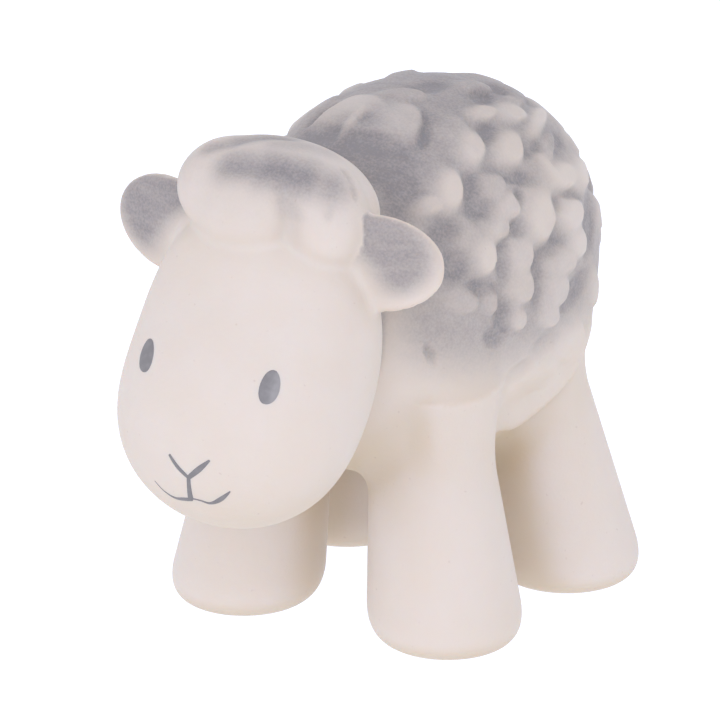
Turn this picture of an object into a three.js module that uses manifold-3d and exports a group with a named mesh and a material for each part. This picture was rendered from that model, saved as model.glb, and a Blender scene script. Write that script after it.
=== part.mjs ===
// Sheep teething toy: a hollow natural-rubber animal with a closing plug under its belly, painted
// eyes, nose and mouth, and a loose rattle capsule with beads sealed inside.
// Millimetres, +Z up. The nose points towards -Y and the sheep's left side towards +X.

import * as THREE from "three";
import { mergeVertices } from "three/addons/utils/BufferGeometryUtils.js";
import Module from "manifold-3d";

// Rubber casting
const wall = 2.5;
const seamGap = 0.3;

// Torso: an ellipsoid that stands over the ground on the legs
const bellyClearance = 21.7;
const torsoHalfWidth = 27.3;
const torsoHalfLength = 42.4;
const torsoHalfHeight = 32.2;
const torsoPitch = -1.6;

// Fleece: the torso lies a little deeper above a hem, and tufts rise from there to its full form.
// The hem rises towards the chest, and the rump's end keeps its full form.
const fleeceDepth = 0.9;
const hemHeight = 47;
const hemFade = 6;
const hemRise = 7;
const hemRiseStart = 7;
const hemRiseLength = 27;
const rumpStart = 33;
const rumpEnd = 41;
const tuftHeight = 1.3;

// The main tufts on the left side: [place along the body, angle round it from the top, half
// length, half width, lean of the length down towards the rear]
const tufts = [
  // Ridge of the back
  [-15.5, 13, 4.7, 3.8, -27],
  [-5.5, 0, 4.6, 3.4, 0],
  [7.5, 14, 5.1, 2.4, 14],
  [21, 0, 4.8, 2.8, 0],
  // Side of the back
  [-7.7, 32, 4.4, 3.6, -25],
  [1.5, 27, 3.8, 2.2, 6],
  [10, 31, 5.0, 2.2, 0],
  [20, 30, 6.0, 2.6, -16],
  [29, 20, 4.4, 2.8, -20],
  [-17, 44, 3.8, 2.8, -41],
  [0.5, 42, 4.8, 2.5, -16],
  [12, 46, 6.0, 2.0, -23],
  [28.5, 44, 4.4, 2.6, -12],
  // Flank
  [-19, 64, 3.2, 3.0, -39],
  [-8.5, 56, 3.8, 2.6, -3],
  [0, 65, 5.2, 3.9, -31],
  [11, 59, 5.6, 2.4, 0],
  [22, 58, 6.5, 2.6, -7],
  [33, 62, 3.8, 2.6, -20],
  [-8, 72, 3.4, 2.6, 12],
  [10.3, 73, 5.2, 3.8, 3],
  [-22, 80, 3.2, 2.2, 24],
  [27.5, 78, 4.8, 2.8, 8],
  [-9.5, 85, 4.2, 2.8, 30],
  [2, 86, 4.8, 3.8, 20],
  [19.5, 96, 7.0, 3.0, 42],
];

// Legs: round tapering columns that splay outwards and flow into the belly
const frontFootSpread = 19.2;
const frontFootRadius = 13.1;
const frontHipSpread = 13.7;
const frontHipRadius = 9.1;
const frontFootForward = 20.5;
const frontHipForward = 18.0;
const rearFootSpread = 21.0;
const rearFootRadius = 13.5;
const rearHipSpread = 12.5;
const rearHipRadius = 8.9;
const rearFootBack = 15.5;
const rearHipBack = 14.6;
const hipHeight = 40;
const soleRounding = 7;
const soleTrim = 0.2;
const legFillet = 11;
const legRootDepth = 2.5;

// Head: a muzzle and a crown, two ellipsoids that melt together, in front of the torso
const muzzleHalfWidth = 18.5;
const muzzleHalfDepth = 13.7;
const muzzleHalfHeight = 15.5;
const muzzleForward = 13.0;
const muzzleDrop = 10.2;
const crownHalfWidth = 19.0;
const crownHalfDepth = 13.0;
const crownHalfHeight = 19.1;
const crownBack = 10.9;
const crownRise = 16.3;
const headPitch = -7.8;
const headMelt = 18;
const neckMelt = 2;

// Ears: flat ovals at the sides of the crown
const earHalfLength = 11.5;
const earHalfThickness = 2.6;
const earHalfHeight = 8.0;
const earInset = 0.3;
const earBack = 1.5;
const earRise = 11.1;
const earYaw = 14.6;

// Forelock: a rosette of round lobes over the crown
const lockHalfWidth = 17.2;
const lockHalfDepth = 11.8;
const lockHalfHeight = 9.4;
const lockBack = 2.8;
const lockSink = 0.4;
const lockPitch = -15.6;
const lockLobes = 6;
const lockGroove = 2.4;

// Painted marks, laid in shallow sockets of the face
const paintThickness = 0.5;
const eyeHalfWidth = 1.9;
const eyeHalfHeight = 2.75;
const eyeSpread = 11.4;
const eyeRise = 12.2;
const eyeReach = 2.5;
const noseHalfWidth = 3.65;
const noseDepth = 3.4;
const noseStem = 4.0;
const mouthHalfWidth = 7.2;
const mouthDip = 0.54;
const mouthCurl = 0.12;
const mouthSteps = 12;
const strokeWidth = 0.9;
const strokeTaper = 0.6;
const strokeReach = 4;

// Closing plug: a stepped disc of the same rubber in the pour hole
const plugRadius = 8;
const plugStemRadius = 6;
const plugStep = 1.2;

// Rattle: a capsule of two halves that lies loose on the cavity's floor, and its beads
const capsuleRadius = 12;
const capsuleWall = 1.5;
const capsuleLip = 2;
const beadRadius = 1.5;
const beadCount = 5;
const beadRowShare = 0.88;
const beadClearance = 0.3;

// Mesh fineness: the largest grid cell of each skin, and the sides of round pieces
const bodyCell = 4.6;
const headCell = 3.8;
const lockCell = 2.8;
const cavityCell = 5.6;
const tuftSides = 6;
const tuftRings = 4;
const roundSides = 24;
const earRings = 8;
const capsuleArcSteps = 5;
const beadSteps = 1;
const settleRounds = 4;
const settleProbeShare = 0.001;
const marchRounds = 60;
const sameCorner = 0.0001;

const wasm = await Module();
wasm.setup();

const torso = {
  centre: [0, 0, bellyClearance + torsoHalfHeight],
  radii: [torsoHalfWidth, torsoHalfLength, torsoHalfHeight],
  pitch: torsoPitch,
};
const muzzle = {
  centre: [0, -torsoHalfLength - muzzleForward, torso.centre[2] - muzzleDrop],
  radii: [muzzleHalfWidth, muzzleHalfDepth, muzzleHalfHeight],
  pitch: headPitch,
};
const crown = {
  centre: [0, muzzle.centre[1] + crownBack, muzzle.centre[2] + crownRise],
  radii: [crownHalfWidth, crownHalfDepth, crownHalfHeight],
  pitch: headPitch,
};
const ear = {
  centre: [crownHalfWidth - earInset, crown.centre[1] + earBack, crown.centre[2] + earRise],
  radii: [earHalfLength, earHalfThickness, earHalfHeight],
  yaw: earYaw,
};
const lock = {
  centre: [0, crown.centre[1] + lockBack, crown.centre[2] + crownHalfHeight - lockSink],
  radii: [lockHalfWidth, lockHalfDepth, lockHalfHeight],
  pitch: lockPitch,
};
const frontLeg = {
  foot: [frontFootSpread, -frontFootForward],
  hip: [frontHipSpread, -frontHipForward],
  footRadius: frontFootRadius,
  hipRadius: frontHipRadius,
};
const rearLeg = {
  foot: [rearFootSpread, rearFootBack],
  hip: [rearHipSpread, rearHipBack],
  footRadius: rearFootRadius,
  hipRadius: rearHipRadius,
};

// Distance fields: a function of a point [x, y, z], negative inside the rubber

// The nearer of two distances, with a fillet where both are closer than the fillet's size.
function meltTogether(a, b, fillet) {
  const near = Math.max(fillet - Math.abs(a - b), 0) / fillet;
  return Math.min(a, b) - (near * near * fillet) / 4;
}

// A point seen from an ellipsoid's centre, along the ellipsoid's own axes.
function inFrameOf(shape, [x, y, z]) {
  const { centre, pitch = 0, yaw = 0 } = shape;
  return new THREE.Vector3(x - centre[0], y - centre[1], z - centre[2])
    .applyAxisAngle(new THREE.Vector3(1, 0, 0), THREE.MathUtils.degToRad(-pitch))
    .applyAxisAngle(new THREE.Vector3(0, 0, 1), THREE.MathUtils.degToRad(-yaw));
}

function ellipsoidField(shape, point) {
  const local = inFrameOf(shape, point);
  const radii = new THREE.Vector3(...shape.radii);
  const share = local.clone().divide(radii);
  const slope = share.clone().divide(radii).length();
  if (slope === 0) return -Math.min(...shape.radii);
  return (share.length() * (share.length() - 1)) / slope;
}

// A slanted column whose radius and centre run evenly from the foot to the hip.
function legField(leg, [x, y, z]) {
  const rise = THREE.MathUtils.clamp(z / hipHeight, 0, 1);
  const centreX = THREE.MathUtils.lerp(leg.foot[0], leg.hip[0], rise);
  const centreY = THREE.MathUtils.lerp(leg.foot[1], leg.hip[1], rise);
  const radius = THREE.MathUtils.lerp(leg.footRadius, leg.hipRadius, rise);
  const side = Math.hypot(x - centreX, y - centreY) - radius;
  const rounded = -meltTogether(-side, z + soleTrim, soleRounding);
  return Math.max(rounded, z - hipHeight);
}

const mirrored = ([x, y, z]) => [Math.abs(x), y, z];
const torsoField = (point) => ellipsoidField(torso, point);
const legsField = (point) =>
  Math.min(legField(frontLeg, mirrored(point)), legField(rearLeg, mirrored(point)));

// The torso and its legs, with the torso's surface a little deeper under the fleece.
function bodyField(point) {
  const [, y, z] = point;
  const forward = THREE.MathUtils.clamp((-y - hemRiseStart) / hemRiseLength, 0, 1);
  const hem = hemHeight + hemRise * forward * forward;
  const above = THREE.MathUtils.smoothstep(z, hem - hemFade, hem + hemFade);
  const before = 1 - THREE.MathUtils.smoothstep(y, rumpStart, rumpEnd);
  const plain = meltTogether(torsoField(point), legsField(point), legFillet);
  return plain + fleeceDepth * above * before;
}

const headField = (point) =>
  meltTogether(ellipsoidField(muzzle, point), ellipsoidField(crown, point), headMelt);

// The forelock's ellipsoid, with a groove down its side between each two lobes.
function lockField(point) {
  const local = inFrameOf(lock, point).divide(new THREE.Vector3(...lock.radii));
  const around = Math.atan2(local.x, -local.y);
  const between = (1 - Math.abs(Math.cos((around * lockLobes) / 2))) ** 2;
  const sideways = Math.min(Math.hypot(local.x, local.y), 1);
  const down = THREE.MathUtils.clamp((1 - local.z) / 2, 0, 1);
  return ellipsoidField(lock, point) + lockGroove * between * sideways * down;
}

const hollowField = (point) => meltTogether(bodyField(point), headField(point), neckMelt);
const grown = (field, by) => (point) => field(point) - by;

// Surfaces

// Slides a point along the field's slope until it lies on the surface.
function settle(field, start, reach) {
  const probe = reach * settleProbeShare;
  let point = [...start];
  for (let round = 0; round < settleRounds; round++) {
    const value = field(point);
    const slope = [0, 1, 2].map((axis) => {
      const ahead = [...point];
      ahead[axis] += probe;
      return (field(ahead) - value) / probe;
    });
    const steepness = slope.reduce((sum, part) => sum + part * part, 0);
    point = point.map((part, axis) => part - (value * slope[axis]) / steepness);
  }
  const moved = Math.hypot(...point.map((part, axis) => part - start[axis]));
  return moved < reach ? point : start;
}

// The closed surface where a field is zero: one point in each grid cell that the surface
// crosses, and one four-sided face around each grid edge that it crosses.
function surfaceOf(field, low, high, cell) {
  const cells = low.map((from, axis) => Math.ceil((high[axis] - from) / cell));
  const step = low.map((from, axis) => (high[axis] - from) / cells[axis]);
  const nodes = cells.map((count) => count + 1);
  const index = (i, j, k) => (k * nodes[1] + j) * nodes[0] + i;
  const place = (at) => at.map((count, axis) => low[axis] + count * step[axis]);
  const values = new Float64Array(nodes[0] * nodes[1] * nodes[2]);
  for (let k = 0; k < nodes[2]; k++)
    for (let j = 0; j < nodes[1]; j++)
      for (let i = 0; i < nodes[0]; i++) values[index(i, j, k)] = field(place([i, j, k]));

  const points = [];
  const pointOf = new Map();
  const corners = [0, 1, 2, 3, 4, 5, 6, 7].map((n) => [n & 1, (n >> 1) & 1, n >> 2]);
  const cellPoint = (at) => {
    const crossings = [];
    for (const from of corners)
      for (const axis of [0, 1, 2]) {
        if (from[axis]) continue;
        const to = from.map((part, a) => part + (a === axis));
        const a = values[index(...at.map((part, n) => part + from[n]))];
        const b = values[index(...at.map((part, n) => part + to[n]))];
        if (a < 0 === b < 0) continue;
        crossings.push(from.map((part, n) => at[n] + part + (n === axis ? a / (a - b) : 0)));
      }
    const mean = [0, 1, 2].map((n) => crossings.reduce((s, c) => s + c[n], 0) / crossings.length);
    return settle(field, place(mean), cell);
  };
  const pointIn = (at) => {
    const key = index(...at);
    if (!pointOf.has(key)) pointOf.set(key, points.push(cellPoint(at)) - 1);
    return pointOf.get(key);
  };

  const triangles = [];
  const spread = (a, b) => Math.hypot(...points[a].map((part, n) => part - points[b][n]));
  const addFace = ([a, b, c, d]) => {
    if (spread(a, c) <= spread(b, d)) triangles.push(a, b, c, a, c, d);
    else triangles.push(b, c, d, b, d, a);
  };
  for (let k = 1; k < cells[2]; k++)
    for (let j = 1; j < cells[1]; j++)
      for (let i = 1; i < cells[0]; i++)
        for (const axis of [0, 1, 2]) {
          const ahead = [i, j, k].map((part, n) => part + (n === axis));
          const inside = values[index(i, j, k)] < 0;
          if (inside === values[index(...ahead)] < 0) continue;
          const u = (axis + 1) % 3;
          const v = (axis + 2) % 3;
          const ring = [[0, 0], [-1, 0], [-1, -1], [0, -1]].map(([du, dv]) => {
            const at = [i, j, k];
            at[u] += du;
            at[v] += dv;
            return pointIn(at);
          });
          addFace(inside ? ring : ring.reverse());
        }
  const geometry = new THREE.BufferGeometry();
  geometry.setAttribute("position", new THREE.Float32BufferAttribute(points.flat(), 3));
  geometry.setIndex(triangles);
  return geometry;
}

// Solids

function solidOf(geometry) {
  const bare = geometry.clone();
  bare.deleteAttribute("normal");
  bare.deleteAttribute("uv");
  const merged = mergeVertices(bare, sameCorner);
  return new wasm.Manifold(
    new wasm.Mesh({
      numProp: 3,
      vertProperties: merged.getAttribute("position").array,
      triVerts: new Uint32Array(merged.index.array),
    }),
  );
}

function geometryOf(solid) {
  const mesh = solid.getMesh();
  const geometry = new THREE.BufferGeometry();
  geometry.setAttribute("position", new THREE.BufferAttribute(mesh.vertProperties, 3));
  geometry.setIndex(new THREE.BufferAttribute(mesh.triVerts, 1));
  const faceted = geometry.toNonIndexed();
  faceted.computeVertexNormals();
  return faceted;
}

// A rectangular solid between two corners.
function block(low, high) {
  const size = high.map((part, axis) => part - low[axis]);
  const middle = high.map((part, axis) => (part + low[axis]) / 2);
  return solidOf(new THREE.BoxGeometry(...size).translate(...middle));
}

// The grid's box: everything that a skin can reach, a margin wide all round.
const margin = 8;
const reachX = Math.max(torsoHalfWidth, ear.centre[0] + earHalfLength, rearFootSpread + rearFootRadius);
const reachFront = muzzle.centre[1] - muzzleHalfDepth;
const reachTop = Math.max(lock.centre[2] + lockHalfHeight, torso.centre[2] + torsoHalfHeight);
const gridLow = [-reachX - margin, reachFront - margin, -margin];
const gridHigh = [reachX + margin, torsoHalfLength + margin, reachTop + margin];
const skin = (field, cell) => solidOf(surfaceOf(field, gridLow, gridHigh, cell));

// The casting, cut into its limbs: the larger piece keeps its form and cuts the smaller one.

const ground = block([gridLow[0], gridLow[1], gridLow[2] - margin], [gridHigh[0], gridHigh[1], 0]);
const bodySkin = skin(bodyField, bodyCell).subtract(ground);
const bodyCut = skin(grown(bodyField, seamGap), bodyCell);
const headSkin = skin(headField, headCell);
const headCut = skin(grown(headField, seamGap), headCell);
const lockSkin = skin(lockField, lockCell);
const lockCut = skin(grown(lockField, seamGap), lockCell);
const hollow = skin(grown(hollowField, -wall), cavityCell);
const torsoReach = skin(grown(torsoField, legRootDepth), bodyCell);
const legReach = skin(grown(torsoField, legRootDepth + seamGap), bodyCell);
const legSkins = bodySkin.subtract(legReach).subtract(hollow);

// The part of a solid on one side of the middle plane, and in front of or behind the legs' gap.
function quarter(solid, side, end) {
  const x = side === "left" ? [0, gridHigh[0]] : [gridLow[0], 0];
  const y = end === "front" ? [gridLow[1], 0] : [0, gridHigh[1]];
  return solid.intersect(block([x[0], y[0], gridLow[2]], [x[1], y[1], gridHigh[2]]));
}

// A tuft on the torso's left side: a low dome whose top touches the torso's full form.
function tuftForm([y, angle, halfLength, halfWidth, lean]) {
  const waist = Math.sqrt(1 - (y / torsoHalfLength) ** 2);
  const around = THREE.MathUtils.degToRad(angle);
  const place = new THREE.Vector3(
    torsoHalfWidth * waist * Math.sin(around),
    y,
    torsoHalfHeight * waist * Math.cos(around),
  );
  const radii = new THREE.Vector3(...torso.radii);
  const outward = place.clone().divide(radii).divide(radii).normalize();
  const rearward = new THREE.Vector3(0, 1, 0).addScaledVector(outward, -outward.y).normalize();
  const lengthwise = rearward.applyAxisAngle(outward, THREE.MathUtils.degToRad(-lean));
  const widthwise = outward.clone().cross(lengthwise);
  const turn = new THREE.Matrix4().makeBasis(lengthwise, widthwise, outward);
  const dome = new THREE.SphereGeometry(1, tuftSides, tuftRings).rotateX(Math.PI / 2);
  dome.scale(halfLength, halfWidth, tuftHeight).applyMatrix4(turn);
  dome.translate(...place.addScaledVector(outward, -tuftHeight).toArray());
  dome.rotateX(THREE.MathUtils.degToRad(torsoPitch));
  return solidOf(dome.translate(...torso.centre));
}

// All tufts: those on the ridge once, the others on both sides.
function fleeceForm() {
  const left = tufts.map(tuftForm);
  const right = left.filter((_, n) => tufts[n][1] !== 0).map((tuft) => tuft.mirror([1, 0, 0]));
  return wasm.Manifold.union([...left, ...right]);
}

// An ear before the head and the forelock cut it: a flat oval turned about its thin axis.
function earForm(side) {
  const sign = side === "left" ? 1 : -1;
  const oval = new THREE.SphereGeometry(1, roundSides, earRings);
  oval.scale(...ear.radii).rotateZ(sign * THREE.MathUtils.degToRad(ear.yaw));
  return solidOf(oval.translate(sign * ear.centre[0], ear.centre[1], ear.centre[2]));
}

// Closing plug: a stepped turning, wide outside and narrow inside, cut from the belly's wall.
const bellyLevel = torso.centre[2] - torsoHalfHeight;
function plugForm(extra) {
  const stepLevel = bellyLevel + plugStep;
  const profile = [
    [0, bellyLevel - margin],
    [plugRadius + extra, bellyLevel - margin],
    [plugRadius + extra, stepLevel + extra],
    [plugStemRadius + extra, stepLevel + extra],
    [plugStemRadius + extra, bellyLevel + wall + margin],
    [0, bellyLevel + wall + margin],
  ].map(([radius, level]) => new THREE.Vector2(radius, level));
  const turned = new THREE.LatheGeometry(profile, roundSides);
  return solidOf(turned.rotateX(Math.PI / 2));
}

// Painted marks

// The point of the face that lies straight behind x and z, seen from the front.
function onFace(x, z) {
  let y = reachFront - margin;
  for (let round = 0; round < marchRounds; round++) y += Math.max(headField([x, y, z]), 0);
  return new THREE.Vector3(x, y, z);
}

// An oval prism that stands on the face at an eye.
function eyeForm(side, extra) {
  const z = muzzle.centre[2] + eyeRise;
  const centre = onFace(side * eyeSpread, z);
  const beside = onFace(side * eyeSpread + 1, z).sub(centre);
  const above = onFace(side * eyeSpread, z + 1).sub(centre);
  const outward = beside.cross(above).normalize();
  const oval = new THREE.Shape();
  oval.absellipse(0, 0, eyeHalfWidth + extra, eyeHalfHeight + extra, 0, 2 * Math.PI);
  const prism = new THREE.ExtrudeGeometry(oval, {
    depth: 2 * eyeReach,
    bevelEnabled: false,
    curveSegments: roundSides / 4,
  });
  prism.translate(0, 0, -eyeReach);
  const turn = new THREE.Matrix4().lookAt(outward, new THREE.Vector3(), new THREE.Vector3(0, 0, 1));
  return solidOf(prism.applyMatrix4(turn).translate(...centre.toArray()));
}

// A brush stroke seen from the front: a band along points [x, z], thinner at its two ends.
function strokeForm(points, extra) {
  const last = points.length - 1;
  const sides = [1, -1].map((sign) =>
    points.map(([x, z], n) => {
      const before = points[Math.max(n - 1, 0)];
      const after = points[Math.min(n + 1, last)];
      const along = new THREE.Vector2(after[0] - before[0], after[1] - before[1]).normalize();
      const taper = n === 0 || n === last ? strokeTaper : 1;
      const reach = sign * ((strokeWidth / 2) * taper + extra);
      const end = n === 0 ? -extra : n === last ? extra : 0;
      return new THREE.Vector2(
        x - along.y * reach + along.x * end,
        z + along.x * reach + along.y * end,
      );
    }),
  );
  const outline = new THREE.Shape([...sides[0], ...sides[1].reverse()]);
  const depth = muzzleHalfDepth;
  const prism = new THREE.ExtrudeGeometry(outline, { depth, bevelEnabled: false });
  return solidOf(prism.rotateX(Math.PI / 2).translate(0, reachFront + depth - strokeReach, 0));
}

const noseTop = muzzle.centre[2];
const noseJoint = noseTop - noseDepth;
const mouthTop = noseJoint - noseStem;
function noseForm(extra) {
  const joint = [0, noseJoint];
  const tips = [-noseHalfWidth, noseHalfWidth].map((x) => strokeForm([[x, noseTop], joint], extra));
  const stemEnd = mouthTop + strokeWidth / 2 + seamGap;
  return tips[0].add(tips[1]).add(strokeForm([joint, [0, stemEnd]], extra));
}

function mouthForm(extra) {
  const points = Array.from({ length: mouthSteps + 1 }, (_, n) => {
    const x = mouthHalfWidth * ((2 * n) / mouthSteps - 1);
    return [x, mouthTop - mouthDip * Math.abs(x) + mouthCurl * x * x];
  });
  return strokeForm(points, extra);
}

const markForms = {
  eye_left: (extra) => eyeForm(1, extra),
  eye_right: (extra) => eyeForm(-1, extra),
  nose_mark: noseForm,
  mouth_line: mouthForm,
};
const paintFloor = skin(grown(headField, -paintThickness), headCell);
const socketFloor = skin(grown(headField, -paintThickness - seamGap), headCell);

// Rattle

// The lowest point of the cavity under the torso's centre, and the capsule lying on it.
const capsuleCentre = [0, 0, bellyLevel + wall + seamGap + capsuleRadius];

function capsuleHalf(isUpper) {
  const inner = capsuleRadius - capsuleWall;
  const lipThickness = (capsuleWall - seamGap) / 2;
  const arc = (radius, from, to) =>
    Array.from({ length: capsuleArcSteps + 1 }, (_, n) => {
      const angle = THREE.MathUtils.lerp(from, to, n / capsuleArcSteps);
      return new THREE.Vector2(radius * Math.cos(angle), radius * Math.sin(angle));
    });
  const lowest = -Math.PI / 2;
  if (!isUpper) {
    const lipOuter = inner + lipThickness;
    const lip = [
      [capsuleRadius, 0],
      [lipOuter, 0],
      [lipOuter, capsuleLip],
      [inner, capsuleLip],
    ].map(([x, y]) => new THREE.Vector2(x, y));
    const outside = arc(capsuleRadius, lowest, 0).slice(0, -1);
    return new THREE.LatheGeometry([...outside, ...lip, ...arc(inner, 0, lowest)], roundSides);
  }
  const rebate = capsuleRadius - lipThickness;
  const skirt = [
    [inner, capsuleLip + seamGap],
    [rebate, capsuleLip + seamGap],
    [rebate, seamGap],
  ].map(([x, y]) => new THREE.Vector2(x, y));
  const start = Math.asin((capsuleLip + seamGap) / inner);
  const rim = Math.asin(seamGap / capsuleRadius);
  const inside = arc(inner, Math.PI / 2, start).slice(0, -1);
  const outside = arc(capsuleRadius, rim, Math.PI / 2);
  return new THREE.LatheGeometry([...inside, ...skirt, ...outside], roundSides);
}

// Beads lie side by side across the capsule, each at the lowest point of its own slice. The two
// outer ones lie at a share of the way to the capsule's ends.
function beadPlace(number) {
  const reach = capsuleRadius - capsuleWall - beadClearance - beadRadius;
  const across = reach * beadRowShare * ((2 * number) / (beadCount - 1) - 1);
  return [across, 0, -Math.sqrt(reach * reach - across * across)];
}

// Assembly

const rubber = { color: 0xe9dfda, roughness: 0.75, metalness: 0 };
const fleeceRubber = { color: 0xb9b3b3, roughness: 0.8, metalness: 0 };
const paint = { color: 0x98989e, roughness: 0.5, metalness: 0 };
const capsulePlastic = { color: 0xf2f2ee, roughness: 0.4, metalness: 0 };
const beadPlastic = { color: 0xd8d4cc, roughness: 0.3, metalness: 0 };

function pieceOf(name, geometry, look) {
  const piece = new THREE.Mesh(geometry, new THREE.MeshStandardMaterial(look));
  piece.name = name;
  return piece;
}

function castingPieces() {
  const casting = new THREE.Group();
  const belly = bodySkin.intersect(torsoReach).subtract(hollow);
  const shell = belly.subtract(plugForm(seamGap)).add(fleeceForm());
  casting.add(pieceOf("torso_shell", geometryOf(shell), fleeceRubber));

  let head = headSkin.subtract(bodyCut).subtract(hollow);
  for (const form of Object.values(markForms))
    head = head.subtract(form(seamGap).subtract(socketFloor));
  casting.add(pieceOf("head_shell", geometryOf(head), rubber));

  const topknot = lockSkin.subtract(headCut).subtract(bodyCut);
  casting.add(pieceOf("topknot", geometryOf(topknot), fleeceRubber));
  for (const side of ["left", "right"]) {
    const lobe = earForm(side).subtract(headCut).subtract(lockCut).subtract(bodyCut);
    casting.add(pieceOf("ear_" + side, geometryOf(lobe), rubber));
    for (const end of ["front", "rear"]) {
      const leg = quarter(legSkins, side, end);
      casting.add(pieceOf("leg_" + end + "_" + side, geometryOf(leg), rubber));
    }
  }
  casting.add(pieceOf("belly_plug", geometryOf(belly.intersect(plugForm(0))), rubber));
  return casting;
}

function paintedMarks() {
  const marks = new THREE.Group();
  for (const [name, form] of Object.entries(markForms)) {
    const mark = form(0).intersect(headSkin).subtract(paintFloor);
    marks.add(pieceOf(name, geometryOf(mark), paint));
  }
  return marks;
}

function rattle() {
  const capsule = new THREE.Group();
  capsule.position.set(...capsuleCentre);
  for (const [name, isUpper] of [["capsule_lower", false], ["capsule_upper", true]]) {
    const shell = capsuleHalf(isUpper).rotateX(Math.PI / 2);
    capsule.add(pieceOf(name, shell, capsulePlastic));
  }
  for (let number = 0; number < beadCount; number++) {
    const bead = pieceOf(
      "bead_" + (number + 1),
      new THREE.IcosahedronGeometry(beadRadius, beadSteps),
      beadPlastic,
    );
    bead.position.set(...beadPlace(number));
    capsule.add(bead);
  }
  return capsule;
}

const sheep = new THREE.Group();
sheep.add(castingPieces(), paintedMarks(), rattle());

// The part's origin is on the ground, under the middle of its length and width.
const extent = new THREE.Box3().setFromObject(sheep);
sheep.position.y = -(extent.min.y + extent.max.y) / 2;

export default sheep;
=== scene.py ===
"""Sheep teething toy in natural rubber: the looks around its CAD frame.

Lengths are in millimetres in the toy's own frame, whose y is 0 under the rattle capsule, until a
piece is made: then they go to metres in the model's frame. The nose points towards -y and the
sheep's left side towards +x.
"""

import math

import bpy
import numpy as np
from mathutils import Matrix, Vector


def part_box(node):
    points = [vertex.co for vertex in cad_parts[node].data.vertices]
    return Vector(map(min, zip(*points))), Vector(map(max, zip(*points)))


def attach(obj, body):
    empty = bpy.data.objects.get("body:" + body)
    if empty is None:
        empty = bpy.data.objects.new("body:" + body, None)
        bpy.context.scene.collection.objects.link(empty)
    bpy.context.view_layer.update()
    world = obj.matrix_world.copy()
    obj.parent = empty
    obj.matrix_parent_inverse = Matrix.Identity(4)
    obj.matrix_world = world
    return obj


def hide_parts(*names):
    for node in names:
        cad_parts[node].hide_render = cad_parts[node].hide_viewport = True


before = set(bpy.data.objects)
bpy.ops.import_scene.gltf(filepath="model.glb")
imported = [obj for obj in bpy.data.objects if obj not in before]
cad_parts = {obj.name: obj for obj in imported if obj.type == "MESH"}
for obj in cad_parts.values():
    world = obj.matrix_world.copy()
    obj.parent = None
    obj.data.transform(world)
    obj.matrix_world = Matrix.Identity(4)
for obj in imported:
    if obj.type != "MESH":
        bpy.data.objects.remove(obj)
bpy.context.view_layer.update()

# Rubber skin
WALL = 2.5

# Torso
BELLY_CLEARANCE = 21.7
TORSO_RADII = np.array([27.3, 42.4, 32.2])
TORSO_CENTRE = np.array([0.0, 0.0, BELLY_CLEARANCE + TORSO_RADII[2]])
TORSO_PITCH = -1.6

# Legs: foot and hip centres (x, y) and radii
FRONT_LEG = {"foot": (19.2, -20.5), "hip": (13.7, -18.0), "foot_radius": 13.1, "hip_radius": 9.1}
REAR_LEG = {"foot": (21.0, 15.5), "hip": (12.5, 14.6), "foot_radius": 13.5, "hip_radius": 8.9}
HIP_HEIGHT = 40.0
SOLE_ROUNDING = 7.0
SOLE_TRIM = 0.2
SHOULDER_FILLET = 10.5
FRONT_LEG_FILLET = 4.5
REAR_LEG_FILLET = 5.0

# Where the front legs' fillet widens over the shoulder: how far to the side and how far forward,
# from no widening to all of it
SHOULDER_SIDE = (16, 22)
SHOULDER_FORWARD = (9, 17)

# Head
HEAD_PITCH = -7.8
MUZZLE_RADII = np.array([18.5, 13.7, 15.5])
MUZZLE_CENTRE = np.array([0.0, -TORSO_RADII[1] - 13.0, TORSO_CENTRE[2] - 10.2])
CROWN_RADII = np.array([19.0, 13.0, 19.1])
CROWN_CENTRE = MUZZLE_CENTRE + np.array([0.0, 10.9, 16.3])
HEAD_MELT = 18.0
NECK_MELT = 1.6

# Ears, and the cup in their front: how deep it is, and where it deepens, from 0 at the ear's rim
# to 1 at its middle
EAR_RADII = np.array([11.5, 2.6, 8.0])
EAR_CENTRE = CROWN_CENTRE + np.array([CROWN_RADII[0] - 0.3, 1.5, 11.1])
EAR_YAW = 14.6
EAR_MELT = 1.6
EAR_CUP = 0.9
EAR_CUP_EDGE = (0.1, 0.7)

# Forelock: a rosette of lobes over the crown, and three lobes that hang over the forehead
LOCK_RADII = np.array([16.9, 11.8, 9.4])
LOCK_CENTRE = CROWN_CENTRE + np.array([0.3, 2.8, CROWN_RADII[2] - 0.4])
LOCK_PITCH = -15.6
LOCK_LOBES = 6
LOCK_GROOVE = 2.4
LOBE_MELT = 2.4
LOCK_MELT = 1.4
FRINGE_LOBES = (
    {"centre": (-1.4, -45.5, 76.4), "radii": (9.6, 8.5, 6.8)},
    {"centre": (11.6, -43.2, 75.8), "radii": (6.3, 7.8, 6.7)},
    {"centre": (-8.9, -43.8, 80.0), "radii": (5.4, 8.0, 6.3)},
)

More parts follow.
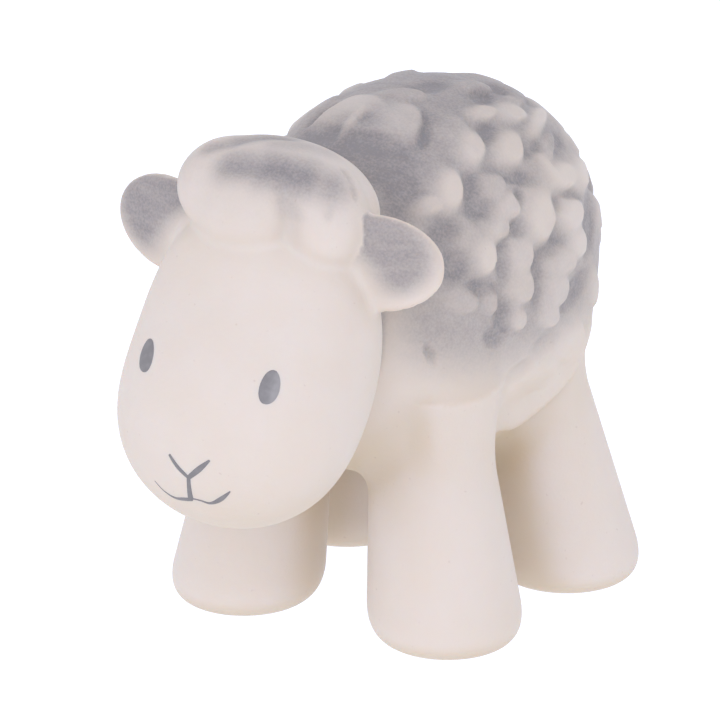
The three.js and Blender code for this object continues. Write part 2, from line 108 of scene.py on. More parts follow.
# Folds of the forelock and the grey along them, partly airbrush and partly painted shade: the line
# of each (x, y, z), its half width, how deep it is and how grey
LOCK_FOLDS = (
    # The hollow behind the fringe
    {"line": ((-3.4, -49.9, 85.6), (3, -49.4, 85.8)), "half": 3.2, "depth": 0.8, "grey": 0.7},
    {"line": ((3, -49.4, 85.8), (9, -48.0, 85.0)), "half": 3.8, "depth": 0.5, "grey": 0.78},
    {"line": ((9, -48.0, 85.0), (13, -46.6, 83.8)), "half": 3.4, "depth": 0.2, "grey": 0.52},
    # The back of the crown
    {"line": ((-9, -46.6, 86), (-5.5, -44.6, 87.4)), "half": 2.0, "depth": 0.4, "grey": 0.5},
    {"line": ((-5.5, -44.6, 87.4), (1.5, -40, 88.3)), "half": 2.6, "depth": 0.4, "grey": 0.6},
    {"line": ((2, -44, 88.1), (8, -40, 88)), "half": 3.0, "depth": 0.0, "grey": 0.3},
    # The sheep's right side: painted shade only, with no fold
    {"line": ((-14.8, -46, 77), (-12.5, -46, 83)), "half": 3.4, "depth": 0.0, "grey": 0.13},
    # Between the two front lobes: painted shade down the valley
    {"line": ((6.6, -50.4, 83.4), (8.4, -51.6, 80)), "half": 2.2, "depth": 0.7, "grey": 0.3},
    {"line": ((8.4, -51.6, 80), (8.3, -52.4, 74.5)), "half": 2.2, "depth": 0.6, "grey": 0.14},
    # Curled creases on the sheep's left, with painted shade in them
    {"line": ((12.9, -42.3, 85.1), (15.1, -43.3, 83.5)), "half": 0.7, "depth": 0.5, "grey": 0.3},
    {"line": ((15.1, -43.3, 83.5), (15.8, -44.4, 81.6)), "half": 0.7, "depth": 0.5, "grey": 0.34},
    {"line": ((14.9, -47.6, 82.2), (14.2, -49.4, 80.0)), "half": 0.9, "depth": 0.4, "grey": 0.18},
)

# The grey at the forelock's top, the heights over which it comes in, and how much wider than a
# fold the fold's own grey is
LOCK_GREY = 0.18
LOCK_GREY_HEIGHTS = (73, 84)
FOLD_GREY_SPREAD = 1.6

# The ears' airbrushed grey, in shares of the ear: how much there is and how far it reaches, where
# its middle is, and the soft edges of the patch and of the ear's front. Near the head it comes in
# over some millimetres, fewer at the ear's top.
EAR_GREY = {"left": 0.78, "right": 0.87}
EAR_GREY_REACH = {"left": 1.14, "right": 1.26}
EAR_GREY_MIDDLE = (-0.04, 0.24)
EAR_GREY_EDGE = (-0.02, 0.42)
EAR_FRONT_EDGE = (0.0, 0.3)
EAR_ROOT = (-0.2, 5.4)
EAR_ROOT_LEAN = 2.6

# The body beside the neck, below the ears: the heights where it begins and ends, and how far it
# reaches from the head. The fleece has less grey there, and a grey line along the head is painted
# shadow where the head meets the body.
NECK_LOW = (36, 44)
NECK_HIGH = (56, 66)
NECK_REACH = (2, 9)
NECK_BARE = 0.6
NECK_LINE = (1.5, 2.4)
NECK_SHADOW_LINE_GREY = 0.36

# Half the width over which the body's grey gives way at the head, and the width over which the
# head's gives way at the ears and the forelock
BODY_SEAM = 0.8
HEAD_SEAM = 0.4

# Fleece: its depth from curl to hollow, its greys, and the levels where its grey and its relief
# end below. The levels rise towards the chest.
FLEECE_DEPTH = 1.3
BASE_GREY = 0.64
HOLLOW_GREY = 0.92
CURL_GREY = 0.13
PAINT_HEM = 46.0
RELIEF_HEM = 40.0
HEM_RISE = 7.0
HEM_RISE_START = 7.0
HEM_RISE_RUN = 27.0
HEM_FADE = 6.0

# The fold of the hem over the haunch: its lower edge as places along the body and angles round it
# from the top, how far it stands out, where it rises and has died away above that edge, and where
# it begins and ends along the body
FOLD_PLACES = (-14.0, -2.0, 4.0, 8.0, 12.5, 18.0, 24.0, 30.0)
FOLD_ANGLES = (133.0, 134.0, 131.0, 126.5, 121.0, 116.0, 111.0, 104.0)
FOLD_HEIGHT = 1.7
FOLD_RISE = (-1.0, 1.4)
FOLD_FALL = (1.4, 7.5)
FOLD_START = (-14, -2)
FOLD_END = (11, 25)

# How near to a surface its fold, its fleece and its creases are worked out
FOLD_BAND = 5.0
FLEECE_BAND = 3.0
LOCK_BAND = 2.0

# The fleece's curls on the sheep's left side. Each is an oval on the torso: its place along the
# body, its angle round the body from the top, its two half sizes, and how much it leans down
# towards the rear. The bright ones were left almost bare of grey.
BRIGHT_CURLS = (
    # Side of the back
    (-7.5, 36, 4.2, 2.3, -27),
    (0.5, 42, 4.8, 2.7, -16),
    (1.5, 27, 3.6, 1.6, 6),
    (8.5, 31, 4.8, 1.9, 4),
    (16.5, 35, 8.5, 1.4, -19),
    (11.5, 57, 6.0, 2.3, 0),
    (22.0, 58, 7.5, 2.5, -7),
    # Flank
    (-17.0, 44, 3.6, 2.4, -41),
    (-15.8, 69, 2.9, 2.2, -69),
    (0.0, 65, 5.2, 3.9, -31),
    (10.0, 69, 5.6, 2.6, 0),
    (10.5, 78, 4.1, 2.6, 8),
)
SOFT_CURLS = (
    # Front of the back
    (-12.8, 12.5, 4.9, 3.4, -27),
    (-16.5, -3.5, 3.8, 1.0, 0),
    (-11.0, -7, 5.2, 2.6, -75),
    # Flank
    (-22.0, 44, 2.4, 1.6, 30),
    (-11.5, 63, 2.8, 1.7, 4),
    (-7.5, 58, 3.1, 2.2, -3),
    (-8.0, 73, 3.4, 2.8, 12),
    (-9.0, 82, 3.8, 2.9, 26),
    (-10.0, 92, 2.2, 1.8, 38),
    (4.0, 81, 4.8, 2.0, 15),
    (1.5, 88, 4.5, 2.9, 27),
    (-1.0, 95, 3.6, 2.0, 21),
    (18.5, 97, 5.6, 2.6, 42),
    (8.0, 53, 3.4, 1.2, 60),
    # Rump
    (27.5, 76, 4.6, 2.6, 8),
    (28.5, 44, 4.2, 2.4, -12),
    (28.0, 22, 4.4, 2.6, -20),
    (35.0, 8, 3.8, 2.6, 20),
    (34.0, 88, 3.8, 2.6, 14),
    # Folds of the hem over the haunch
    (-6.5, 122, 4.6, 2.6, 3),
    (0.0, 116, 6.0, 2.6, 8),
    (8.0, 110, 7.5, 2.6, 16),
    (10.0, 107, 4.6, 2.3, 18),
)
GREY_CURLS = (
    # Shoulder
    (-18.5, 62, 2.9, 2.6, -39),
    (-22.0, 80, 3.2, 2.2, 24),
    (-16.5, 83, 2.4, 1.6, 83),
    (-8.5, 50, 3.2, 2.0, -12),
    # Back
    (-8.0, 28, 4.1, 2.4, -23),
    (-6.0, 3, 4.1, 2.5, 59),
    (7.5, 14, 5.1, 2.0, 14),
    (12.0, 46, 6.5, 1.5, -23),
    (14.5, 25, 8.5, 1.5, -14),
    # Rump
    (20.0, 16, 4.4, 2.6, 10),
    (27.0, 33, 3.8, 2.4, -10),
    (21.0, 4, 4.6, 2.6, 12),
    (33.5, 60, 3.6, 2.6, -20),
    (35.5, 34, 3.4, 2.2, -18),
)
CURLS = BRIGHT_CURLS + SOFT_CURLS + GREY_CURLS

# How bare of grey each curl was left, from 0 to 1
BRIGHT_BARE = 1.0
SOFT_BARE = 0.68
GREY_BARE = 0.3
CURL_BARENESS = (
    [BRIGHT_BARE] * len(BRIGHT_CURLS)
    + [SOFT_BARE] * len(SOFT_CURLS)
    + [GREY_BARE] * len(GREY_CURLS)
)

# The hollows between the curls, in the same terms
HOLLOWS = (
    (-23.0, 20, 5.7, 4.0, 65),
    (-23.5, 4, 4.4, 4.4, 20),
    (-12.6, 0, 2.0, 1.2, 0),
    (-24.0, 34, 4.4, 3.4, -46),
    (-19.0, -12, 6.5, 1.8, -78),
    (-12.0, 21, 4.2, 1.2, -35),
    (1.0, 6, 4.0, 2.2, 16),
    (7.0, 20, 3.3, 1.7, -9),
    (18.0, 19, 6.0, 3.0, 7),
    (-2.0, 34, 3.4, 1.9, -9),
    (6.5, 44, 3.7, 1.8, -5),
    (17.0, 44, 5.4, 2.3, -12),
    (-13.0, 48, 4.6, 1.7, -63),
    (-13.5, 54, 3.0, 1.7, 16),
    (-2.5, 50, 6.2, 1.6, 27),
    (-4.0, 57, 1.8, 1.2, -27),
    (12.0, 63, 4.8, 1.0, 15),
    (-21.5, 55, 2.8, 2.4, 17),
    (-22.0, 67, 2.9, 2.6, -82),
    (-7.0, 65, 3.1, 1.6, 13),
    (-12.0, 72, 4.9, 1.4, -72),
    (5.0, 64, 2.4, 1.4, -36),
    (3.5, 72, 3.8, 2.1, 9),
    (-1.0, 75, 3.4, 1.5, 14),
    (18.5, 75, 6.1, 3.0, -38),
    (-18.0, 78, 3.6, 1.5, 17),
    (-4.5, 83, 4.7, 1.8, -84),
    (-13.5, 90, 3.5, 1.9, 82),
    (9.0, 92, 6.6, 2.4, -12),
    (-15.5, 96, 2.2, 1.5, 42),
    (28.0, 62, 4.6, 2.0, 10),
    (32.0, 77, 3.6, 1.8, -20),
    (29.0, 10, 4.0, 1.8, 24),
    (36.0, 22, 3.0, 1.6, 0),
    (36.0, 48, 3.0, 1.8, 20),
    # Above the folds of the hem
    (-12.5, 117, 2.6, 1.8, -17),
    (-7.5, 110, 3.7, 1.4, -16),
    (-1.0, 104, 3.7, 1.8, -4),
    (-27.5, 98, 1.8, 0.7, 65),
)

# How soft the edges of curls and hollows are, in shares of their size: towards the front and the
# top, and towards the rear and below. The first two are for the relief, the others for the grey.
CURL_EDGES = (0.75, 0.15)
HOLLOW_EDGES = (0.6, 0.5)
CURL_GREY_EDGES = (0.9, 0.14)
HOLLOW_GREY_EDGES = (0.5, 0.4)

# How much a hollow takes from the height of a curl that it overlaps, and how much a bare curl
# takes from a hollow's grey
HOLLOW_BITE = 0.4
CURL_CLEARING = 0.8

# Curls and hollows nearer to the top of the back than this angle aren't mirrored
TOP_ANGLE = 12.0

# Painted shade in the cream where the toy's lower forms close round each other: how far they are
# felt for, and how closed in a place is with none and with all of it
SHADE_REACHES = (3.0, 6.0, 9.0, 13.0)
SHADE_CLOSENESS = (0.04, 0.54)

# The same painted shade on undersides, by how far they turn down, and on the belly, by height and
# by distance from the head
UNDERSIDE_TURN = (0.1, 0.9)
UNDERSIDE_SHADE = 0.5
BELLY_LOW = (18, 36)
BELLY_HIGH = (42, 52)
BELLY_REACH = (2, 8)
BELLY_SHADE = 0.15

# Where there is less of it: up the body, beside the neck and down at the feet
UPPER_HEIGHTS = (33, 50)
UPPER_CUT = 0.85
NECK_CUT = 0.7
FOOT_HEIGHTS = (12, 26)
FOOT_SHARE = 0.65

# Painted marks: the middle line of each brush stroke as (x, z) seen from the front, and its half
# width at each of those places
EYE_STROKES = {
    "painted_eye_left": {"line": ((11.95, 52.85), (11.35, 57.77)), "half": 1.76, "thin": 1.0},
    "painted_eye_right": {"line": ((-10.86, 54.05), (-11.26, 58.7)), "half": 2.15, "thin": 0.1},
}
NOSE_STROKES = (
    {"line": ((-3.1, 43.4), (-1.6, 41.6), (0.3, 40.0)), "half": (0.30, 0.46, 0.40)},
    {"line": ((4.3, 43.7), (2.4, 41.9), (0.3, 40.0)), "half": (0.22, 0.60, 0.46)},
    {"line": ((0.36, 40.4), (0.12, 38.2), (-0.15, 35.8)), "half": (0.40, 0.50, 0.68)},
)
MOUTH_STROKES = (
    {
        "line": ((-7.1, 37.6), (-5.5, 36.1), (-3.5, 35.3), (-1.5, 35.55), (0.2, 35.9)),
        "half": (0.06, 0.14, 0.28, 0.42, 0.42),
    },
    {
        "line": ((0.0, 36.1), (1.6, 36.0), (3.3, 35.75), (5.25, 36.85), (7.15, 38.6)),
        "half": (0.18, 0.20, 0.30, 0.48, 0.14),
    },
)

# The paint's film: how far it stands out from the face and how far its edge and its back lie in
# it, and how late towards the edge it turns down
PAINT_LIFT = 0.05
PAINT_EDGE = 0.12
PAINT_DEPTH = 0.35
PAINT_TURN = 6

# Strokes: their points along and across, how square their ends are, and how blunt
STROKE_ROWS = 48
STROKE_COLUMNS = 9
STROKE_SQUARENESS = 24
STROKE_BLUNTNESS = 0.02

# Eyes: the places along an egg shape and how near to its tips they go, how much narrower it is
# above, and where across it the paint gets thin
EYE_PLACES = 25
EYE_TIP = 0.999
EYE_TAPER = 0.1
EYE_THIN_EDGE = (-0.35, 0.75)

# Closing plug: its disc, the gap round it, its recess in the belly and how far it is pressed in
PLUG_RADIUS = 8.0
PLUG_GAP = 0.45
PLUG_RECESS = 0.8
PLUG_SEAT = 0.3
RECESS_EDGE = 0.5

# The rounding of the plug's rim: how high it goes as a share of the recess, and how late it starts
RIM_HEIGHT = 0.6
RIM_SQUARENESS = 8
RIM_END = 0.999
PLUG_SECTORS = 64
PLUG_RINGS = 8

# Camera, as the photograph was taken
CAMERA_AZIMUTH = 30.62
CAMERA_ELEVATION = 19.57
CAMERA_DISTANCE = 1400.0
CAMERA_TARGET = np.array([0.0, -15.73, 44.47])
CAMERA_LENS = 434.0
CAMERA_SENSOR = 36.0
CAMERA_SIGHT = 20000.0

# Light: an even white surround, a wide, cooler softbox, and a floor with the surround's glow
WORLD_COLOUR = (1.0, 1.04, 1.17)
KEY_COLOUR = (1.0, 1.06, 1.32)
WORLD_STRENGTH = 0.985
KEY_STRENGTH = 1.25
KEY_SPREAD = 75.0
KEY_AZIMUTH = 20.0
KEY_ELEVATION = 12.0
FLOOR_SIZE = 6000.0
FLOOR_SHADE = 0.15
FLOOR_GLOW = 0.98

# Colours, as shares of the light that comes back
CREAM = (0.63, 0.545, 0.465, 1.0)
CREAM_WARM = (0.62, 0.53, 0.44, 1.0)
# The cream of the painted shade in closed-in places, on undersides and on the belly; the plug also
# takes it as a deeper cream at random
CREAM_DEEP_AND_PAINTED_SHADE = (0.56, 0.45, 0.315, 1.0)
SPECK = (0.42, 0.3, 0.24, 1.0)
# The airbrush's grey, also used for the painted shade in the forelock's folds and along the head
AIRBRUSH_AND_SHADE_GREY = (0.235, 0.21, 0.2, 1.0)
PAINT_DARK = (0.18, 0.164, 0.156, 1.0)
PAINT_LIGHT = (0.27, 0.25, 0.236, 1.0)
CAPSULE_MILKY = (0.9047, 0.9047, 0.855, 1.0)
BEAD_GREY = (0.6867, 0.7305, 0.7605, 1.0)

# Mesh fineness, the room round the skin's grid, and how often its points are spread evenly
SKIN_CELL = 0.7
CAVITY_CELL = 3.0
SKIN_MARGIN = 3.0
EVEN_ROUNDS = 2

# Steps towards a surface, and how far in front of it they start
FACE_STEPS = 60
FACE_START = 2.0
BELLY_STEPS = 40
BELLY_START = 1.0

BEAD_COUNT = 5
SKIN_NODES = (
    "torso_shell",
    "head_shell",
    "topknot",
    "ear_left",
    "ear_right",
    "leg_front_left",
    "leg_front_right",
    "leg_rear_left",
    "leg_rear_right",
)

MM = 0.001
lowest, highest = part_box("capsule_lower")
SHIFT = np.array([0.0, (lowest[1] + highest[1]) / 2 / MM, 0.0])


# Fields: the distance of points (n, 3) from a form, negative inside it


def melt(a, b, fillet):
    """The nearer of two distances, with a fillet where both are close."""
    near = np.maximum(fillet - np.abs(a - b), 0) / fillet
    return np.minimum(a, b) - near * near * fillet / 4


def smooth_step(value, low, high):
    share = np.clip((value - low) / (high - low), 0, 1)
    return share * share * (3 - 2 * share)


def within(value, start, end):
    """1 between two soft edges, 0 outside them."""
    return smooth_step(value, *start) * (1 - smooth_step(value, *end))


def seen_from(points, centre, pitch=0.0, yaw=0.0):
    """Points in the axes of a form that is pitched and yawed about its centre."""
    x, y, z = (points - centre).T
    turn = math.radians(-pitch)
    y, z = y * math.cos(turn) - z * math.sin(turn), y * math.sin(turn) + z * math.cos(turn)
    turn = math.radians(-yaw)
    x, y = x * math.cos(turn) - y * math.sin(turn), x * math.sin(turn) + y * math.cos(turn)
    return np.stack([x, y, z], axis=-1)


def ellipsoid_distance(local, radii):
    share = local / radii
    length = np.linalg.norm(share, axis=-1)
    slope = np.linalg.norm(share / radii, axis=-1)
    return length * (length - 1) / np.maximum(slope, 1e-6)


def mirrored(points):
    return np.abs(points[:, 0:1]) * [1, 0, 0] + points * [0, 1, 1]


def leg_field(points, leg):
    """A slanted column whose radius and centre run evenly from the foot to the hip."""
    x, y, z = points.T
    rise = np.clip(z / HIP_HEIGHT, 0, 1)
    centre_x = leg["foot"][0] + (leg["hip"][0] - leg["foot"][0]) * rise
    centre_y = leg["foot"][1] + (leg["hip"][1] - leg["foot"][1]) * rise
    radius = leg["foot_radius"] + (leg["hip_radius"] - leg["foot_radius"]) * rise
    side = np.hypot(x - centre_x, y - centre_y) - radius
    rounded = -melt(-side, z + SOLE_TRIM, SOLE_ROUNDING)
    return np.maximum(rounded, z - HIP_HEIGHT)


def above_hem(points, hem):
    """1 above a level round the body, 0 below it. The level rises towards the chest."""
    forward = np.clip((-points[:, 1] - HEM_RISE_START) / HEM_RISE_RUN, 0, 1)
    level = hem + HEM_RISE * forward * forward
    return smooth_step(points[:, 2], level - HEM_FADE, level + HEM_FADE)


def angle_round(local):
    """The angle of places round the torso, in degrees from its top towards the sheep's left."""
    share = local / TORSO_RADII
    return np.degrees(np.arctan2(share[:, 0], share[:, 2]))


def oval_cover(local, ovals, edges, weights=None):
    """How much ovals on the torso cover places on it, from 0 to 1."""
    soft, crisp = edges
    angle = angle_round(local)
    bare = np.ones(len(local))
    for (y, at, long, short, lean), weight in zip(ovals, weights or [1.0] * len(ovals)):
        waist = math.sqrt(1 - (y / TORSO_RADII[1]) ** 2)
        across = TORSO_RADII[0] * waist * math.cos(math.radians(at))
        down = TORSO_RADII[2] * waist * math.sin(math.radians(at))
        per_degree = math.radians(math.hypot(across, down))
        turn = math.radians(lean)
        sides = (1,) if abs(at) < TOP_ANGLE else (1, -1)
        for side in sides:
            u = local[:, 1] - y
            v = (angle * side - at) * per_degree
            along = (u * math.cos(turn) + v * math.sin(turn)) / long
            beside = (v * math.cos(turn) - u * math.sin(turn)) / short
            reach = np.hypot(along, beside)
            # 0 in front of the oval's middle and above it, 1 behind it and below it
            rearward = 0.5 + 0.35 * (u + v) / np.maximum(np.hypot(u, v), 0.01)
            edge = soft + (crisp - soft) * rearward
            bare *= 1 - weight * smooth_step(1 - reach, -edge, edge)
    return 1 - bare


def fleece_level(points):
    """The fleece's relief: 1 on a curl, 0 in a hollow, 0.5 between them."""
    local = seen_from(points, TORSO_CENTRE, TORSO_PITCH)
    curls = oval_cover(local, CURLS, CURL_EDGES)
    hollows = oval_cover(local, HOLLOWS, HOLLOW_EDGES)
    return 0.5 + 0.5 * curls * (1 - HOLLOW_BITE * hollows) - 0.5 * hollows * (1 - curls)


def fleece_grey(points):
    """The grey of the fleece: darkest in the hollows, lightest on the bright curls."""
    local = seen_from(points, TORSO_CENTRE, TORSO_PITCH)
    light = oval_cover(local, CURLS, CURL_GREY_EDGES, CURL_BARENESS)
    dark = oval_cover(local, HOLLOWS, HOLLOW_GREY_EDGES) * (1 - CURL_CLEARING * light)
    return BASE_GREY + (HOLLOW_GREY - BASE_GREY) * dark - (BASE_GREY - CURL_GREY) * light


def belly_recess(points):
    """The shallow round recess that the closing plug sits in."""
    inside = PLUG_RADIUS + PLUG_GAP - np.hypot(points[:, 0], points[:, 1])
    below = points[:, 2] < TORSO_CENTRE[2] - TORSO_RADII[2] / 2
    return PLUG_RECESS * below * smooth_step(inside, -RECESS_EDGE, RECESS_EDGE)


def hem_fold(local):
    """How far the hem's fold over each haunch stands out from the torso."""
    edge = np.interp(local[:, 1], FOLD_PLACES, FOLD_ANGLES)
    above = np.radians(edge - np.abs(angle_round(local))) * TORSO_RADII[2]
    across = within(above, FOLD_RISE, FOLD_FALL)
    along = within(local[:, 1], FOLD_START, FOLD_END)
    return FOLD_HEIGHT * across * along


def plain_body_field(points):
    """The torso and its legs, without the fleece."""
    local = seen_from(points, TORSO_CENTRE, TORSO_PITCH)
    torso = ellipsoid_distance(local, TORSO_RADII)
    near = np.abs(torso) < FOLD_BAND
    torso[near] -= hem_fold(local[near])
    torso = melt(torso, leg_field(mirrored(points), REAR_LEG), REAR_LEG_FILLET)
    shoulder = smooth_step(np.abs(points[:, 0]), *SHOULDER_SIDE)
    shoulder *= smooth_step(-points[:, 1], *SHOULDER_FORWARD)
    fillet = FRONT_LEG_FILLET + (SHOULDER_FILLET - FRONT_LEG_FILLET) * shoulder
    return melt(torso, leg_field(mirrored(points), FRONT_LEG), fillet)


def body_field(points):
    """The body with its fleece. Above the grey's hem the curls reach up to the plain body, and below
    it they stand out from it."""
    body = plain_body_field(points)
    near = np.abs(body) < FLEECE_BAND
    close = points[near]
    sunk = 0.5 * above_hem(close, PAINT_HEM) + 0.5 - fleece_level(close)
    body[near] += FLEECE_DEPTH * sunk * above_hem(close, RELIEF_HEM) + belly_recess(close)
    return body


def head_field(points):
    muzzle = ellipsoid_distance(seen_from(points, MUZZLE_CENTRE, HEAD_PITCH), MUZZLE_RADII)
    crown = ellipsoid_distance(seen_from(points, CROWN_CENTRE, HEAD_PITCH), CROWN_RADII)
    return melt(muzzle, crown, HEAD_MELT)


def line_cover(points, line, half):
    """How much a soft line between two places covers points, from 0 to 1."""
    start, end = (np.array(place, float) for place in line)
    along = end - start
    share = np.clip((points - start) @ along / (along @ along), 0, 1)
    reach = np.linalg.norm(points - start - share[:, None] * along, axis=-1)
    return smooth_step(1 - reach / half, 0, 1)


def rosette_field(points):
    """An ellipsoid with a groove down its side between each two lobes."""
    local = seen_from(points, LOCK_CENTRE, LOCK_PITCH)
    share = local / LOCK_RADII
    around = np.arctan2(share[:, 0], -share[:, 1])
    between = (1 - np.abs(np.cos(around * LOCK_LOBES / 2))) ** 2
    sideways = np.minimum(np.hypot(share[:, 0], share[:, 1]), 1)
    down = np.clip((1 - share[:, 2]) / 2, 0, 1)
    return ellipsoid_distance(local, LOCK_RADII) + LOCK_GROOVE * between * sideways * down


def lock_field(points):
    """The forelock: its rosette, the lobes of the fringe, and their folds."""
    lock = rosette_field(points)
    for lobe in FRINGE_LOBES:
        radii = np.array(lobe["radii"])
        lock = melt(lock, ellipsoid_distance(points - np.array(lobe["centre"]), radii), LOBE_MELT)
    near = np.abs(lock) < LOCK_BAND
    close = points[near]
    sunk = [fold["depth"] * line_cover(close, fold["line"], fold["half"]) for fold in LOCK_FOLDS]
    lock[near] += np.max(sunk, axis=0)
    return lock


def ear_field(points):
    """A flat oval, slightly cupped in front."""
    local = seen_from(mirrored(points), EAR_CENTRE, 0, EAR_YAW)
    share = local / EAR_RADII
    middle = np.clip(1 - share[:, 0] ** 2 - share[:, 2] ** 2, 0, 1)
    cup = EAR_CUP * smooth_step(middle, *EAR_CUP_EDGE) * (local[:, 1] < 0)
    return ellipsoid_distance(local, EAR_RADII) + cup


def skin_field(points):
    skin = melt(body_field(points), head_field(points), NECK_MELT)
    skin = melt(skin, ear_field(points), EAR_MELT)
    skin = melt(skin, lock_field(points), LOCK_MELT)
    return np.maximum(skin, -points[:, 2])


def cavity_field(points):
    return melt(plain_body_field(points), head_field(points), NECK_MELT) + WALL


# Surfaces


def slope_of(field, points, value):
    probe = 0.02
    return np.stack([(field(points + probe * axis) - value) / probe for axis in np.eye(3)], axis=-1)


def normal_of(field, points):
    slope = slope_of(field, points, field(points))
    return slope / np.maximum(np.linalg.norm(slope, axis=-1), 1e-6)[:, None]


def settled(field, points, rounds=2):
    """Points slid along the field's slope onto its surface."""
    flattest = 0.05
    farthest = 0.6
    for _ in range(rounds):
        value = field(points)
        slope = slope_of(field, points, value)
        step = value / np.maximum((slope**2).sum(axis=-1), flattest)
        points = points - np.clip(step, -farthest, farthest)[:, None] * slope
    return points


def at_corner(array, at):
    """The part of an array over grid points that lies at one corner of each grid cell."""
    return array[tuple(slice(at[n], array.shape[n] - 1 + at[n]) for n in range(3))]


def cell_points(values):
    """A point in each grid cell that a surface crosses, in cells from the grid's first corner: the
    middle of its crossings of the cell's edges. Also each cell's number among them, or -1."""
    corners = [(i, j, k) for i in (0, 1) for j in (0, 1) for k in (0, 1)]
    held = sum(at_corner(values < 0, at).astype(int) for at in corners)
    crossed = (held > 0) & (held < len(corners))
    number = np.full(crossed.shape, -1)
    number[crossed] = np.arange(crossed.sum())
    total = np.zeros((crossed.sum(), 3))
    count = np.zeros(crossed.sum())
    edges = [(at, axis) for at in corners for axis in range(3) if not at[axis]]
    for at, axis in edges:
        to = tuple(at[n] + (n == axis) for n in range(3))
        a = at_corner(values, at)[crossed]
        b = at_corner(values, to)[crossed]
        cut = (a < 0) != (b < 0)
        place = np.tile(np.array(at, float), (len(a), 1))
        place[:, axis] += np.where(cut, a / np.where(cut, a - b, 1), 0)
        total += place * cut[:, None]
        count += cut
    return np.argwhere(crossed) + total / count[:, None], number


def edge_faces(inside, number):
    """A four-sided face round each grid edge that a surface crosses."""
    faces = []
    for axis in range(3):
        u, v = (axis + 1) % 3, (axis + 2) % 3
        change = inside != np.roll(inside, -1, axis=axis)
        change[tuple(-1 if n == axis else slice(None) for n in range(3))] = False
        at = np.argwhere(change)
        ring = []
        for du, dv in ((0, 0), (-1, 0), (-1, -1), (0, -1)):
            near = at.copy()
            near[:, u] += du
            near[:, v] += dv
            ring.append(number[tuple(near.T)])
        ring = np.stack(ring, axis=-1)
        flipped = ~inside[tuple(at.T)]
        ring[flipped] = ring[flipped][:, ::-1]
        faces.append(ring)
    return np.concatenate(faces)


def surface_of(field, low, high, cell):
    """The closed surface where a field is zero, as points and four-sided faces."""
    counts = np.ceil((high - low) / cell).astype(int)
    lines = [np.linspace(low[n], high[n], counts[n] + 1) for n in range(3)]
    grid = np.stack(np.meshgrid(*lines, indexing="ij"), axis=-1)
    values = np.concatenate([field(slab.reshape(-1, 3)) for slab in grid])
    values = values.reshape(grid.shape[:3])
    places, number = cell_points(values)
    return low + places * (high - low) / counts, edge_faces(values < 0, number)


def evened(field, points, faces, rounds):
    """The same surface with its points spread evenly over it."""
    pull = 0.5
    ends = np.concatenate([faces[:, [n, (n + 1) % 4]] for n in range(4)])
    for _ in range(rounds):
        total = np.zeros_like(points)
        count = np.zeros(len(points))
        for a, b in ((0, 1), (1, 0)):
            np.add.at(total, ends[:, a], points[ends[:, b]])
            np.add.at(count, ends[:, a], 1)
        points = settled(field, points + pull * (total / count[:, None] - points), 1)
    return points


def mesh_piece(name, points, faces):
    """A smooth mesh object from points in millimetres and faces."""
    mesh = bpy.data.meshes.new(name)
    mesh.from_pydata(((points + SHIFT) * MM).tolist(), [], [list(face) for face in faces])
    mesh.update()
    mesh.polygons.foreach_set("use_smooth", [True] * len(mesh.polygons))
    piece = bpy.data.objects.new(name, mesh)
    bpy.context.scene.collection.objects.link(piece)
    return piece


def give_values(piece, name, values):
    """One number for each of a mesh's points, which a material reads by name."""
    layer = piece.data.attributes.new(name, "FLOAT", "POINT")
    layer.data.foreach_set("value", np.asarray(values, dtype=np.float32))


# The skin's grey and shade


def beside_neck(points, head):
    """How near to the head's edge a place on the body lies, from 0 to 1, below the ears."""
    return within(points[:, 2], NECK_LOW, NECK_HIGH) * (1 - smooth_step(head, *NECK_REACH))


def body_grey(points, head):
    neck = beside_neck(points, head)
    fleece = above_hem(points, PAINT_HEM) * fleece_grey(points) * (1 - NECK_BARE * neck)
    # Along the head's edge, a grey line of painted shadow where the head meets the body
    return fleece + NECK_SHADOW_LINE_GREY * neck * (1 - smooth_step(head, *NECK_LINE))


def ear_grey(points, head, ears):
    ear = seen_from(mirrored(points), EAR_CENTRE, 0, EAR_YAW) / EAR_RADII
    on_left = points[:, 0] > 0
    amount = np.where(on_left, EAR_GREY["left"], EAR_GREY["right"])
    reach = np.where(on_left, EAR_GREY_REACH["left"], EAR_GREY_REACH["right"])
    away = np.hypot(ear[:, 0] - EAR_GREY_MIDDLE[0], ear[:, 2] - EAR_GREY_MIDDLE[1])
    patch = amount * smooth_step(1 - away / reach, *EAR_GREY_EDGE)
    patch *= smooth_step(-ear[:, 1], *EAR_FRONT_EDGE)
    start, end = EAR_ROOT
    end = end - EAR_ROOT_LEAN * np.clip(ear[:, 2], -1, 1)
    return patch * smooth_step(head - ears, start, end)


def lock_grey(points):
    grey = 0
    # The folds' grey, partly airbrush and partly painted shade
    for fold in LOCK_FOLDS:
        cover = line_cover(points, fold["line"], FOLD_GREY_SPREAD * fold["half"])
        grey = np.maximum(grey, fold["grey"] * cover)
    return grey + LOCK_GREY * smooth_step(points[:, 2], *LOCK_GREY_HEIGHTS)


def airbrush_and_painted_shade(points):
    """Grey at each point of the skin, 0 to 1: the airbrush's, and painted shade by the neck and in
    folds.
    """
    head = head_field(points)
    ears = ear_field(points)
    lock = lock_field(points)
    nearest = np.minimum(head, np.minimum(ears, lock))
    on_body = smooth_step(nearest - plain_body_field(points), -BODY_SEAM, BODY_SEAM)
    on_ears = smooth_step(nearest + HEAD_SEAM - ears, 0, HEAD_SEAM)
    on_lock = smooth_step(nearest + HEAD_SEAM - lock, 0, HEAD_SEAM)
    grey = body_grey(points, head) * on_body
    grey += ear_grey(points, head, ears) * on_ears + lock_grey(points) * on_lock
    return np.clip(grey, 0, 1)


